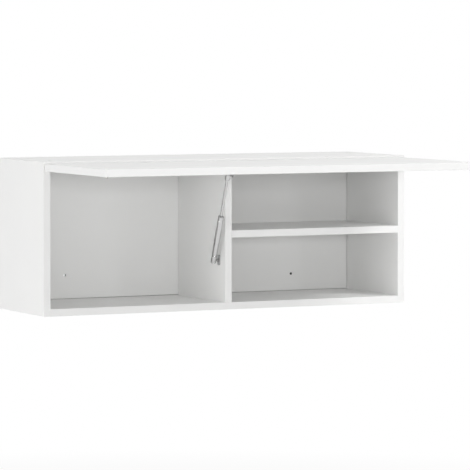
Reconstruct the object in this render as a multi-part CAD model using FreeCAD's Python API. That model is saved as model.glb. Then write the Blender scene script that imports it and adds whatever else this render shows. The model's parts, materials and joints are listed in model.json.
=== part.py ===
import FreeCAD, Part
import math
import os

# Wall cabinet with a lift-up flap, modelled with the flap raised level.
# Millimetres. X runs from left to right, Y from the room to the wall, Z up.
# The origin is on the wall, in the middle of the top panel's rear edge.

# Carcass of faced board with banded edges
cabinet_width = 1000.0
cabinet_height = 377.0
cabinet_depth = 308.0
board = 18.0
edge_band = 1.0
edge_round = 0.8

# Back panel with a tongue in its grooves, a shadow line round its face, a fixing hole, a plugged hole and a
# hanging recess behind it
back_thickness = 8.0
back_tongue = 3.0
shadow_line = 1.2
back_recess = 24.0
groove_depth = 8.0
fixing_hole_radius = 3.5
fixing_inset = 174.0
fixing_height = 78.0
plug_hole_radius = 2.5
plug_inset = 184.0
plug_height = 62.0
plug_head_radius = 3.2
plug_head_thickness = 0.8
plug_head_round = 0.5
plug_length = 7.0

# Clearances shared by every fit
running_clearance = 0.05
seat_clearance = 0.1
overrun = 1.0
match_tolerance = 0.001

# Dowels, cam locks and their caps
dowel_radius = 4.0
dowel_face_depth = 12.0
dowel_edge_depth = 18.0
dowel_inset = 40.0
cam_radius = 7.5
cam_depth = 14.0
cam_inset = 34.0
cam_edge_distance = 72.0
cam_bore_radius = 3.4
bolt_thread_radius = 3.5
bolt_thread_length = 11.0
bolt_shank_radius = 3.0
bolt_neck_radius = 2.0
bolt_neck_length = 4.0
bolt_head_length = 3.0
bolt_hole_radius = 4.0
cap_radius = 8.8
cap_thickness = 0.8
cap_round = 0.5
cap_plug_radius = 3.0
cap_plug_depth = 2.0

# Wood screws with flat heads
screw_head_radius = 3.6
screw_head_height = 2.0
screw_shank_radius = 1.75
screw_length = 13.0
screw_tip = 3.0

# Flap and where it turns
flap_side_reveal = 2.0
flap_top_reveal = 3.0
flap_bottom_reveal = 9.0
flap_gap = 3.2
pivot_depth = 11.0
pivot_edge = 9.0
bumper_radius = 4.5
bumper_inset = 14.0
bumper_clearance = 0.3
bumper_round = 1.0

# Cup hinges
hinge_end_distance = 110.0
cup_radius = 17.5
cup_wall = 0.8
cup_floor = 0.8
cup_edge_distance = 22.5
flange_thickness = 1.2
flange_rim = 2.0
wing_length = 64.0
wing_width = 16.0
wing_round = 7.0
wing_offset = 9.5
cup_screw_spacing = 48.0
pin_radius = 1.1
pin_embed = 2.5
knuckle_radius = 2.2
neck_width = 9.0
neck_side_clearance = 2.5
neck_thickness = 2.4
neck_round = 1.5
arm_drop = 14.0
arm_width = 18.0
arm_wall = 1.6
arm_setback = 2.0
arm_length = 56.0
arm_round = 2.0
plate_thickness = 2.5
plate_margin = 2.0
plate_round = 3.0
plate_wing_length = 54.0
plate_wing_width = 16.0
plate_screw_line = 37.0
plate_screw_spacing = 40.0
rail_height = 5.0
rail_clearance = 0.4
rail_inset = 6.0
arm_screw_head_radius = 3.2
arm_screw_head_height = 1.8
arm_screw_radius = 2.0
arm_screw_bite = 4.0
arm_screw_lines = (24.0, 48.0)

# Gas strut on the left face of the divider
strut_offset = 16.0
strut_pivot_along = 44.0
strut_pivot_drop = 14.0
strut_foot_setback = 34.0
strut_foot_drop = 237.0
ball_radius = 5.0
stud_neck_radius = 2.8
stud_hex_radius = 5.0
hex_corners = 6
stud_hex_height = 3.0
stud_tail_radius = 2.9
rivet_radius = 3.8
rivet_height = 1.2
socket_radius = 6.4
socket_flat = 5.5
socket_mouth_radius = 4.2
socket_round = 1.2
socket_overhang = 7.0
socket_neck_radius = 5.0
socket_neck_length = 1.5
foot_socket_reach = 13.0
head_socket_reach = 16.0
socket_hole_depth = 6.0
tube_radius = 7.0
tube_wall = 1.2
tube_length = 105.0
tube_round = 1.5
guide_lip = 1.5
guide_plug = 10.0
rod_radius = 3.0
piston_length = 8.0
piston_stop = 6.0
bracket_thickness = 2.0
bracket_round = 3.0
foot_plate_thickness = 3.0
foot_plate_width = 12.0
foot_plate_round = 5.5
foot_plate_height = 26.0
foot_screw_spacing = 17.0
ear_offset = 11.0
ear_radius = 7.5
head_plate_margin = 15.0
head_plate_length = 52.0
head_screw_spacing = 38.0

# Hanging angles behind the back panel
hanger_thickness = 2.0
hanger_height = 60.0
hanger_width = 44.0
hanger_depth = 22.0
hanger_drop = 6.0
hanger_wall_gap = 0.5
hanger_round = 1.5
keyhole_inset = 26.0
keyhole_radius = 5.5
keyhole_slot_radius = 2.75
keyhole_rise = 16.0
keyhole_drop = 8.0
hanger_screw_spacing = 36.0

# Planes of the carcass
half_width = cabinet_width / 2
inner_half = half_width - board
z_top = board / 2
z_bottom = z_top - cabinet_height
z_ceiling = z_top - board
z_floor = z_bottom + board
y_front = -cabinet_depth
y_core = y_front + edge_band
y_back_rear = -back_recess
y_back_front = y_back_rear - back_thickness
y_tongue_front = y_back_rear - back_tongue
y_shadow = y_back_front - shadow_line
divider_half = board / 2
z_shelf = (z_floor + z_ceiling - board) / 2

# Flap at rest and the line that it turns about
flap_half = half_width - flap_side_reveal
flap_height = cabinet_height - flap_top_reveal - flap_bottom_reveal
y_axis = y_front - flap_gap - pivot_depth
z_axis = z_top - flap_top_reveal - pivot_edge
flap_rear = y_axis + pivot_edge
flap_front = flap_rear - flap_height
flap_under = z_axis - pivot_depth
flap_over = flap_under + board

# Strut line from its foot on the divider to its head on the flap
strut_x = -divider_half - strut_offset
foot = FreeCAD.Vector(strut_x, y_front + strut_foot_setback, z_ceiling - strut_foot_drop)
head = FreeCAD.Vector(strut_x, flap_rear - strut_pivot_along, flap_under - strut_pivot_drop)
strut_up = (head - foot).normalize()
across = FreeCAD.Vector(1, 0, 0)
inward = FreeCAD.Vector(0, 1, 0)
upward = FreeCAD.Vector(0, 0, 1)


def block(x_span, y_span, z_span):
    """A box between two values on each axis."""
    low = FreeCAD.Vector(min(x_span), min(y_span), min(z_span))
    high = FreeCAD.Vector(max(x_span), max(y_span), max(z_span))
    size = high - low
    return Part.makeBox(size.x, size.y, size.z, low)


def bar(start, end, radius):
    """A round bar from one point to another."""
    return Part.makeCylinder(radius, start.distanceToPoint(end), start, end - start)


def edges_along(shape, axis):
    """The straight edges that run along one axis."""
    def runs(edge):
        ends = [vertex.Point[axis] for vertex in edge.Vertexes]
        return len(ends) == 2 and max(ends) - min(ends) > edge.Length - match_tolerance
    return [edge for edge in shape.Edges if runs(edge)]


def edges_at(shape, places):
    """The edges whose every end has the given value on each given axis."""
    def lies(edge):
        return all(abs(vertex.Point[axis] - value) < match_tolerance
                   for vertex in edge.Vertexes for axis, value in places.items())
    return [edge for edge in shape.Edges if lies(edge)]


def rims_at(shape, centre):
    """The round edges about one centre."""
    rims = [edge for edge in shape.Edges if edge.Closed]
    return [edge for edge in rims if edge.CenterOfMass.isEqual(centre, match_tolerance)]


def rounded_plate(x_span, y_span, z_span, axis, radius):
    """A flat plate with its corners rounded about one axis."""
    plate = block(x_span, y_span, z_span)
    return plate.makeFillet(radius, edges_along(plate, axis))


def band(x_span, y_span, z_span, run, face_axis, face_at):
    """A strip of edging along one axis, its long outer edges eased."""
    strip = block(x_span, y_span, z_span)
    outer = edges_at(strip, {face_axis: face_at})
    long_edges = [edge for edge in edges_along(strip, run) if any(edge.isSame(other) for other in outer)]
    return strip.makeFillet(edge_round, long_edges)


def mirrored(shape):
    """The same piece on the other side of the cabinet."""
    return shape.mirror(FreeCAD.Vector(0, 0, 0), across)


def both_sides(shapes):
    """The given pieces and their mirrored twins."""
    return shapes + [mirrored(shape) for shape in shapes]


def flat_screw(seat, direction, clearance):
    """A flat-headed wood screw, or its hole when a clearance is given."""
    way = FreeCAD.Vector(direction).normalize()
    rim = screw_head_radius + clearance
    shank = screw_shank_radius + clearance
    neck = seat + way * screw_head_height
    shoulder = seat + way * (screw_length - screw_tip)
    screw = Part.makeCone(rim, shank, screw_head_height, seat, way)
    screw = screw.fuse(bar(neck, shoulder, shank))
    screw = screw.fuse(Part.makeCone(shank, 0, screw_tip + clearance, shoulder, way))
    return screw.removeSplitter()


def screws_at(seats, direction):
    """Screws seated at some points."""
    return [flat_screw(seat, direction, 0) for seat in seats]


def screw_holes_at(seats, direction):
    """The holes that those screws go into."""
    return [flat_screw(seat, direction, running_clearance) for seat in seats]


# Joints between the boards: a point on the joint and the way into the end grain
dowel_rows = (y_core + dowel_inset, y_back_front - dowel_inset)
cam_rows = (y_core + cam_edge_distance, y_back_front - cam_edge_distance)


def dowel_joints():
    """Where each dowel crosses a joint, and its direction."""
    joints = []
    for y in dowel_rows:
        for z in (z_top - board / 2, z_bottom + board / 2):
            joints.append((FreeCAD.Vector(inner_half, y, z), -across))
            joints.append((FreeCAD.Vector(-inner_half, y, z), across))
        joints.append((FreeCAD.Vector(0, y, z_ceiling), -upward))
        joints.append((FreeCAD.Vector(0, y, z_floor), upward))
        joints.append((FreeCAD.Vector(divider_half, y, z_shelf + board / 2), across))
        joints.append((FreeCAD.Vector(inner_half, y, z_shelf + board / 2), -across))
    return joints


def dowel(point, way, clearance, end_clearance):
    """A dowel, or its two holes when clearances are given."""
    start = point - way * (dowel_face_depth + end_clearance)
    end = point + way * (dowel_edge_depth + end_clearance)
    return bar(start, end, dowel_radius + clearance)


def cam_places():
    """Each cam lock's joint point, the way into the panel and its open face's direction."""
    places = []
    for y in cam_rows:
        for side in (-across, across):
            high = -side * inner_half + inward * y
            low = high + upward * (z_bottom + board / 2)
            places.append((high, side, upward))
            places.append((low, side, -upward))
    return places


def cam_lock(point, way, out):
    """A cam with its radial bore for the bolt and a recess for the cap."""
    face = point + way * cam_inset + out * (board / 2)
    body = bar(face - out * cam_depth, face, cam_radius - running_clearance)
    bore_start = point + way * (cam_inset - cam_radius - overrun)
    bore = bar(bore_start, point + way * (cam_inset + bolt_head_length), cam_bore_radius)
    recess_floor = face - out * (cap_plug_depth + seat_clearance)
    recess = bar(recess_floor, face + out * overrun, cap_plug_radius + running_clearance)
    return body.cut(bore).cut(recess)


def cam_pocket(point, way, out):
    """The pocket for a cam and the hole for its bolt."""
    face = point + way * cam_inset + out * (board / 2)
    pocket = bar(face - out * (cam_depth + seat_clearance), face + out * overrun, cam_radius)
    thread_end = point - way * (bolt_thread_length + seat_clearance)
    thread = bar(thread_end, point, bolt_thread_radius + running_clearance)
    shank = bar(point, point + way * cam_inset, bolt_hole_radius)
    return pocket.fuse([thread, shank])


def cam_bolt(point, way):
    """A bolt screwed into the side, with a necked head inside the cam."""
    head_end = point + way * (cam_inset + bolt_head_length - seat_clearance)
    head_start = head_end - way * bolt_head_length
    neck_start = head_start - way * bolt_neck_length
    bolt = bar(point - way * bolt_thread_length, point, bolt_thread_radius)
    bolt = bolt.fuse(bar(point, neck_start, bolt_shank_radius))
    bolt = bolt.fuse(bar(neck_start, head_start, bolt_neck_radius))
    return bolt.fuse(bar(head_start, head_end, bolt_shank_radius)).removeSplitter()


def cam_cap(point, way, out):
    """A low cover cap with a plug that presses into the cam."""
    face = point + way * cam_inset + out * (board / 2)
    disc = bar(face, face + out * cap_thickness, cap_radius)
    disc = disc.makeFillet(cap_round, rims_at(disc, face + out * cap_thickness))
    return disc.fuse(bar(face - out * cap_plug_depth, face, cap_plug_radius)).removeSplitter()


# Cup hinge at the right-hand end of the flap
hinge_x = half_width - hinge_end_distance
cup_y = flap_rear - cup_edge_distance
wing_y = cup_y - wing_offset
cup_depth = pivot_depth + knuckle_radius + bumper_clearance + cup_floor
slot_half = neck_width / 2 + neck_side_clearance
arm_floor = z_ceiling - arm_drop
plate_under = z_ceiling - plate_thickness
arm_front = y_front + arm_setback
arm_rear = arm_front + arm_length
plate_half = arm_width / 2 + plate_margin
rail_half = arm_width / 2 - arm_wall - rail_clearance
rail_under = plate_under - rail_height
hinge_plate_y = y_front + plate_screw_line
flange_under = flap_under - flange_thickness
cup_screw_seats = [FreeCAD.Vector(hinge_x + side * cup_screw_spacing / 2, wing_y, flange_under)
                   for side in (-1, 1)]
plate_screw_seats = [FreeCAD.Vector(hinge_x + side * plate_screw_spacing / 2, hinge_plate_y, plate_under)
                     for side in (-1, 1)]
arm_screw_spots = [FreeCAD.Vector(hinge_x, y_front + line, arm_floor) for line in arm_screw_lines]


def hinge_pin():
    """The pin that crosses the cup's slot."""
    reach = across * (slot_half + pin_embed)
    middle = FreeCAD.Vector(hinge_x, y_axis, z_axis)
    return bar(middle - reach, middle + reach, pin_radius)


def hinge_cup():
    """A cup with a flange and two wings, slotted for the arm."""
    mouth = FreeCAD.Vector(hinge_x, cup_y, flap_under)
    lip = mouth - upward * flange_thickness
    cup = bar(mouth, mouth + upward * cup_depth, cup_radius)
    cup = cup.fuse(bar(lip, mouth, cup_radius + flange_rim))
    wing_x = (hinge_x - wing_length / 2, hinge_x + wing_length / 2)
    wing_span = (wing_y - wing_width / 2, wing_y + wing_width / 2)
    wings = rounded_plate(wing_x, wing_span, (lip.z, flap_under), 2, wing_round)
    cup = cup.fuse(wings).removeSplitter()
    well = bar(lip - upward * overrun, mouth + upward * (cup_depth - cup_floor), cup_radius - cup_wall)
    slab = block((hinge_x - slot_half, hinge_x + slot_half), (cup_y - cup_radius, cup_y + cup_radius),
                 (lip.z - overrun, flap_over))
    cup = cup.cut(well.common(slab)).cut(hinge_pin())
    return cup.cut(screw_holes_at(cup_screw_seats, upward))


def hinge_plate():
    """A mounting plate under the top panel, with wings and a rail for the arm."""
    plate_rear = arm_rear + plate_margin
    base = rounded_plate((hinge_x - plate_half, hinge_x + plate_half), (arm_front, plate_rear),
                         (plate_under, z_ceiling), 2, plate_round)
    wings = rounded_plate((hinge_x - plate_wing_length / 2, hinge_x + plate_wing_length / 2),
                          (hinge_plate_y - plate_wing_width / 2, hinge_plate_y + plate_wing_width / 2),
                          (plate_under, z_ceiling), 2, plate_round)
    rail = block((hinge_x - rail_half, hinge_x + rail_half), (arm_front + rail_inset, arm_rear - rail_inset),
                 (rail_under, plate_under))
    plate = base.fuse([wings, rail]).removeSplitter()
    plate = plate.cut(screw_holes_at(plate_screw_seats, upward))
    return plate.cut([arm_screw(spot, running_clearance) for spot in arm_screw_spots])


def hinge_arm():
    """A channel on the plate, with a cranked neck that reaches into the cup."""
    channel = block((hinge_x - arm_width / 2, hinge_x + arm_width / 2), (arm_front, arm_rear),
                    (arm_floor, plate_under))
    low_edges = [edge for edge in edges_at(channel, {2: arm_floor}) if edge.Length > arm_width + overrun]
    channel = channel.makeFillet(arm_round, low_edges)
    hollow_half = arm_width / 2 - arm_wall
    hollow = block((hinge_x - hollow_half, hinge_x + hollow_half), (arm_front + arm_wall, arm_rear + overrun),
                   (arm_floor + neck_thickness, plate_under + overrun))
    neck_x = (hinge_x - neck_width / 2, hinge_x + neck_width / 2)
    neck_front = y_axis - neck_thickness / 2
    tread = block(neck_x, (neck_front, arm_front + arm_wall), (arm_floor, arm_floor + neck_thickness))
    riser = block(neck_x, (neck_front, neck_front + neck_thickness), (arm_floor, z_axis))
    neck = tread.fuse(riser).removeSplitter()
    neck = neck.makeFillet(neck_round, edges_at(neck, {1: neck_front, 2: arm_floor}))
    eye = FreeCAD.Vector(hinge_x, y_axis, z_axis)
    reach = across * (neck_width / 2)
    arm = channel.cut(hollow).fuse([neck, bar(eye - reach, eye + reach, knuckle_radius)]).removeSplitter()
    arm = arm.cut(bar(eye - reach * 2, eye + reach * 2, pin_radius + running_clearance))
    return arm.cut([arm_screw(spot, running_clearance) for spot in arm_screw_spots])


def arm_screw(spot, clearance):
    """A pan-headed machine screw through the arm into the rail, or its hole."""
    tip = rail_under + arm_screw_bite
    shank = bar(spot, FreeCAD.Vector(spot.x, spot.y, tip + clearance), arm_screw_radius + clearance)
    pan = bar(spot - upward * arm_screw_head_height, spot, arm_screw_head_radius)
    return shank.fuse(pan).removeSplitter()


# Gas strut and its two brackets
foot_plate_face = -divider_half - foot_plate_thickness
ear_face = strut_x + ear_offset
ear_back = ear_face + bracket_thickness
tube_start = foot + strut_up * foot_socket_reach
tube_end = tube_start + strut_up * tube_length
guide_end = tube_end + strut_up * guide_lip
plug_start = tube_end - strut_up * guide_plug
piston_top = plug_start - strut_up * piston_stop
piston_low = piston_top - strut_up * piston_length
rod_end = head - strut_up * (head_socket_reach - socket_hole_depth)
bore_radius = tube_radius - tube_wall
foot_screw_seats = [FreeCAD.Vector(foot_plate_face, foot.y, foot.z + side * foot_screw_spacing / 2)
                    for side in (-1, 1)]
head_plate_under = flap_under - bracket_thickness
head_screw_seats = [FreeCAD.Vector(strut_x, head.y + side * head_screw_spacing / 2, head_plate_under)
                    for side in (-1, 1)]


def ball_socket(pivot, way, reach):
    """A strut end fitting: a barrel along the strut, flat where its ball seat opens to the bracket."""
    shoulder = pivot + way * reach
    waist = shoulder - way * socket_neck_length
    barrel = bar(pivot - way * socket_overhang, waist, socket_radius)
    barrel = barrel.makeFillet(socket_round, [edge for edge in barrel.Edges if edge.Closed])
    beyond = reach + socket_overhang
    off_cut = block((pivot.x + socket_flat, pivot.x + socket_radius + overrun),
                    (pivot.y - beyond, pivot.y + beyond), (pivot.z - beyond, pivot.z + beyond))
    fitting = barrel.cut(off_cut).fuse(bar(waist, shoulder, socket_neck_radius)).removeSplitter()
    seat = Part.makeSphere(ball_radius + running_clearance, pivot, across)
    mouth = bar(pivot, pivot + across * (socket_flat + overrun), socket_mouth_radius)
    hole = bar(shoulder - way * socket_hole_depth, shoulder + way * overrun, rod_radius + running_clearance)
    return fitting.cut(mouth).cut(seat).cut(hole)


def ball_stud(pivot, hex_face):
    """A ball on a necked stud with a hexagon that bears on its bracket."""
    hex_start = FreeCAD.Vector(hex_face - stud_hex_height, pivot.y, pivot.z)
    turns = [math.tau * corner / hex_corners for corner in range(hex_corners + 1)]
    spokes = [inward * math.cos(turn) + upward * math.sin(turn) for turn in turns]
    corners = [hex_start + spoke * stud_hex_radius for spoke in spokes]
    hexagon = Part.Face(Part.makePolygon(corners)).extrude(across * stud_hex_height)
    stud = Part.makeSphere(ball_radius, pivot, across)
    return stud.fuse(bar(pivot, hex_start, stud_neck_radius)).fuse(hexagon)


def head_stud():
    """The flap's ball stud, riveted through its bracket's ear."""
    tail_start = FreeCAD.Vector(ear_face, head.y, head.z)
    tail_end = FreeCAD.Vector(ear_back, head.y, head.z)
    tail = bar(tail_start, tail_end, stud_tail_radius)
    rivet = bar(tail_end, tail_end + across * rivet_height, rivet_radius)
    return ball_stud(head, ear_face).fuse(tail).fuse(rivet)


def foot_bracket():
    """A plate on the divider that carries the strut's lower ball."""
    plate_front = foot.y - foot_plate_width / 2
    plate_rear = foot.y + foot_plate_width / 2
    plate_low = foot.z - foot_plate_height / 2
    plate_high = foot.z + foot_plate_height / 2
    plate = rounded_plate((foot_plate_face, -divider_half), (plate_front, plate_rear),
                          (plate_low, plate_high), 0, foot_plate_round)
    return plate.cut(screw_holes_at(foot_screw_seats, across))


def head_bracket():
    """An angle under the flap with an ear for the strut's upper ball."""
    plate = rounded_plate((strut_x - head_plate_margin, ear_back),
                          (head.y - head_plate_length / 2, head.y + head_plate_length / 2),
                          (head_plate_under, flap_under), 2, bracket_round)
    ear = block((ear_face, ear_back), (head.y - ear_radius, head.y + ear_radius), (head.z, flap_under))
    near = FreeCAD.Vector(ear_face, head.y, head.z)
    far = FreeCAD.Vector(ear_back, head.y, head.z)
    bracket = plate.fuse([ear, bar(near, far, ear_radius)]).removeSplitter()
    past = across * overrun
    hole = bar(near - past, far + past, stud_tail_radius + running_clearance)
    return bracket.cut([hole] + screw_holes_at(head_screw_seats, upward))


def strut_tube():
    """The gas cylinder, open at the top for its guide and closed at the foot by a stud."""
    tube = bar(tube_start, tube_end, tube_radius)
    tube = tube.makeFillet(tube_round, rims_at(tube, tube_start))
    tube = tube.cut(bar(tube_start + strut_up * tube_wall, tube_end + strut_up * overrun, bore_radius))
    stud_end = tube_start - strut_up * (socket_hole_depth - seat_clearance)
    return tube.fuse(bar(stud_end, tube_start, rod_radius))


def strut_guide():
    """The guide and seal in the cylinder's mouth."""
    plug = bar(plug_start, tube_end, bore_radius - running_clearance)
    guide = plug.fuse(bar(tube_end, guide_end, tube_radius)).removeSplitter()
    past = strut_up * overrun
    return guide.cut(bar(plug_start - past, guide_end + past, rod_radius + running_clearance))


def strut_piston():
    """The piston ring on the rod's inner end."""
    ring = bar(piston_low, piston_top, bore_radius - seat_clearance)
    return ring.cut(bar(piston_low - strut_up * overrun, piston_top + strut_up * overrun, rod_radius))


# Hanging angles, screwed to the sides
hanger_middle = z_ceiling - hanger_drop - hanger_height / 2
hanger_screw_seats = [FreeCAD.Vector(inner_half - hanger_thickness, -hanger_depth / 2,
                                     hanger_middle + side * hanger_screw_spacing / 2) for side in (-1, 1)]


def hanger():
    """An angle in the recess with a keyhole for the wall screw."""
    z_high = z_ceiling - hanger_drop
    heights = (z_high - hanger_height, z_high)
    wall_face = -hanger_wall_gap
    leaf = block((inner_half - hanger_width, inner_half), (wall_face - hanger_thickness, wall_face), heights)
    flange = block((inner_half - hanger_thickness, inner_half), (-hanger_depth, wall_face), heights)
    angle = leaf.fuse(flange).removeSplitter()
    angle = angle.makeFillet(hanger_round, edges_at(angle, {0: inner_half, 1: wall_face}))
    eye = FreeCAD.Vector(inner_half - keyhole_inset, wall_face + overrun, hanger_middle - keyhole_drop)
    through = inward * (hanger_thickness + overrun * 2)
    slot_end = eye + upward * keyhole_rise
    slot = block((eye.x - keyhole_slot_radius, eye.x + keyhole_slot_radius), (eye.y, (eye - through).y),
                 (eye.z, slot_end.z))
    slot_top = bar(slot_end, slot_end - through, keyhole_slot_radius)
    keyhole = bar(eye, eye - through, keyhole_radius).fuse([slot, slot_top])
    return angle.cut(keyhole).cut(screw_holes_at(hanger_screw_seats, across))


def bumper():
    """A soft stop under the flap's free corner."""
    spot = FreeCAD.Vector(half_width - board / 2, flap_front + bumper_inset, flap_under)
    low = spot - upward * (flap_gap - bumper_clearance)
    pad = bar(low, spot, bumper_radius)
    return pad.makeFillet(bumper_round, rims_at(pad, low))


# Holes that several boards share
dowel_holes = [dowel(point, way, running_clearance, seat_clearance) for point, way in dowel_joints()]
cam_pockets = [cam_pocket(point, way, out) for point, way, out in cam_places()]
carcass_holes = Part.makeCompound(dowel_holes + cam_pockets)
hinge_plate_holes = both_sides(screw_holes_at(plate_screw_seats, upward))
hanger_holes = both_sides(screw_holes_at(hanger_screw_seats, across))
y_groove = (y_tongue_front - seat_clearance, y_back_rear + seat_clearance)
groove_reach = inner_half + groove_depth
z_groove = (z_floor - groove_depth, z_ceiling + groove_depth)
back_groove = block((-groove_reach, groove_reach), y_groove, z_groove)


def side_board():
    """The right side, between its edge bands."""
    core = block((inner_half, half_width), (y_core, 0), (z_bottom + edge_band, z_top - edge_band))
    return core.cut(back_groove)


def level_board(z_span):
    """The top or bottom panel, between the sides."""
    core = block((-inner_half, inner_half), (y_core, 0), z_span)
    return core.cut([back_groove, carcass_holes])


def divider():
    """The upright between the two bays, rebated where its rear edge meets the back."""
    core = block((-divider_half, divider_half), (y_core, y_shadow), (z_floor, z_ceiling))
    rear_half = divider_half - shadow_line
    rear_edge = block((-rear_half, rear_half), (y_shadow, y_back_front), (z_floor, z_ceiling))
    return core.fuse(rear_edge).cut([carcass_holes] + screw_holes_at(foot_screw_seats, across))


def shelf():
    """The fixed shelf half-way up the right bay, rebated like the divider."""
    core = block((divider_half, inner_half), (y_core, y_shadow), (z_shelf, z_shelf + board))
    z_rear_edge = (z_shelf + shadow_line, z_shelf + board - shadow_line)
    rear_edge = block((divider_half, inner_half), (y_shadow, y_back_front), z_rear_edge)
    return core.fuse(rear_edge).cut(carcass_holes)


# Holes low in the back panel, on its room side
fixing_spot = FreeCAD.Vector(fixing_inset - half_width, y_back_front, z_bottom + fixing_height)
plug_spot = FreeCAD.Vector(half_width - plug_inset, y_back_front, z_bottom + plug_height)


def through_hole(spot, radius):
    """A hole from the room side through the back panel."""
    return bar(spot - inward * overrun, spot + inward * (back_thickness + overrun), radius)


def back_panel():
    """The back, its tongue let into the grooves, with its wall-fixing hole and the hole for the plug."""
    reach = groove_reach - seat_clearance
    face_half = inner_half - shadow_line
    z_face = (z_floor + shadow_line, z_ceiling - shadow_line)
    face = block((-face_half, face_half), (y_back_front, y_back_rear), z_face)
    tongue = block((-reach, reach), (y_tongue_front, y_back_rear),
                   (min(z_groove) + seat_clearance, max(z_groove) - seat_clearance))
    panel = face.fuse(tongue).cut(through_hole(fixing_spot, fixing_hole_radius))
    return panel.cut(through_hole(plug_spot, plug_hole_radius))


def hole_plug():
    """A plug with a low round head, pressed into the back panel's second hole."""
    crown = plug_spot - inward * plug_head_thickness
    button = bar(crown, plug_spot, plug_head_radius)
    button = button.makeFillet(plug_head_round, rims_at(button, crown))
    stem = bar(plug_spot, plug_spot + inward * plug_length, plug_hole_radius - running_clearance)
    return button.fuse(stem).removeSplitter()


def carcass_bands():
    """Edging on the boards' visible edges."""
    y_band = (y_front, y_core)
    side_x = (inner_half, half_width)
    side_bands = both_sides([
        band(side_x, y_band, (z_bottom, z_top), 2, 1, y_front),
        band(side_x, (y_core, 0), (z_top - edge_band, z_top), 1, 2, z_top),
        band(side_x, (y_core, 0), (z_bottom, z_bottom + edge_band), 1, 2, z_bottom),
    ])
    return side_bands + [
        band((-inner_half, inner_half), y_band, (z_ceiling, z_top), 0, 1, y_front),
        band((-inner_half, inner_half), y_band, (z_bottom, z_floor), 0, 1, y_front),
        band((-divider_half, divider_half), y_band, (z_floor, z_ceiling), 2, 1, y_front),
        band((divider_half, inner_half), y_band, (z_shelf, z_shelf + board), 0, 1, y_front),
    ]


def flap():
    """The flap's board, bored for the hinge cups and screwed for the strut bracket."""
    core = block((edge_band - flap_half, flap_half - edge_band),
                 (flap_front + edge_band, flap_rear - edge_band), (flap_under, flap_over))
    mouth = FreeCAD.Vector(hinge_x, cup_y, flap_under - overrun)
    bore = bar(mouth, mouth + upward * (cup_depth + seat_clearance + overrun), cup_radius + running_clearance)
    hinge_holes = both_sides([bore] + screw_holes_at(cup_screw_seats, upward))
    return core.cut(hinge_holes + screw_holes_at(head_screw_seats, upward))


def flap_bands():
    """Edging round the flap."""
    z_span = (flap_under, flap_over)
    run = (-flap_half, flap_half)
    between = (flap_front + edge_band, flap_rear - edge_band)
    return both_sides([band((flap_half - edge_band, flap_half), between, z_span, 1, 0, flap_half)]) + [
        band(run, (flap_front, flap_front + edge_band), z_span, 0, 1, flap_front),
        band(run, (flap_rear - edge_band, flap_rear), z_span, 0, 1, flap_rear),
    ]


# Every piece by its name, pairs first
right_pieces = {
    "hinge_cup": hinge_cup(),
    "hinge_pin": hinge_pin(),
    "hinge_plate": hinge_plate(),
    "hinge_arm": hinge_arm(),
    "hanger": hanger(),
}
pieces = {name + "_right": shape for name, shape in right_pieces.items()}
pieces.update({name + "_left": mirrored(shape) for name, shape in right_pieces.items()})
right_side = side_board()
pieces["right_side"] = right_side.cut([carcass_holes] + hanger_holes)
pieces["left_side"] = mirrored(right_side).cut([carcass_holes] + hanger_holes)
pieces["top_panel"] = level_board((z_ceiling, z_top)).cut(hinge_plate_holes)
pieces["bottom_panel"] = level_board((z_bottom, z_floor))
pieces["divider"] = divider()
pieces["shelf"] = shelf()
pieces["back_panel"] = back_panel()
pieces["hole_plug"] = hole_plug()
pieces["flap"] = flap()
pieces["strut_tube"] = strut_tube()
pieces["strut_guide"] = strut_guide()
pieces["strut_rod"] = bar(piston_low, rod_end - strut_up * seat_clearance, rod_radius)
pieces["strut_piston"] = strut_piston()
pieces["strut_foot_socket"] = ball_socket(foot, strut_up, foot_socket_reach)
pieces["strut_head_socket"] = ball_socket(head, -strut_up, head_socket_reach)
pieces["strut_foot_stud"] = ball_stud(foot, foot_plate_face)
pieces["strut_head_stud"] = head_stud()
pieces["strut_foot_bracket"] = foot_bracket()
pieces["strut_head_bracket"] = head_bracket()

# Groups of like pieces
groups = {
    "dowels": [dowel(point, way, 0, 0) for point, way in dowel_joints()],
    "cam_locks": [cam_lock(point, way, out) for point, way, out in cam_places()],
    "cam_bolts": [cam_bolt(point, way) for point, way, out in cam_places()],
    "cam_caps": [cam_cap(point, way, out) for point, way, out in cam_places()],
    "carcass_edge_bands": carcass_bands(),
    "flap_edge_bands": flap_bands(),
    "bumpers": both_sides([bumper()]),
    "hinge_plate_screws": both_sides(screws_at(plate_screw_seats, upward)),
    "hinge_arm_screws": both_sides([arm_screw(spot, 0) for spot in arm_screw_spots]),
    "hinge_cup_screws": both_sides(screws_at(cup_screw_seats, upward)),
    "hanger_screws": both_sides(screws_at(hanger_screw_seats, across)),
    "strut_foot_screws": screws_at(foot_screw_seats, across),
    "strut_head_screws": screws_at(head_screw_seats, upward),
}
pieces.update({name: Part.makeCompound(solids) for name, solids in groups.items()})

os.makedirs("parts", exist_ok=True)
for name, shape in pieces.items():
    shape.exportStep("parts/" + name + ".step")
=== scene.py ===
import json
import math

import bmesh
import bpy
from mathutils import Matrix, Vector


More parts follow.
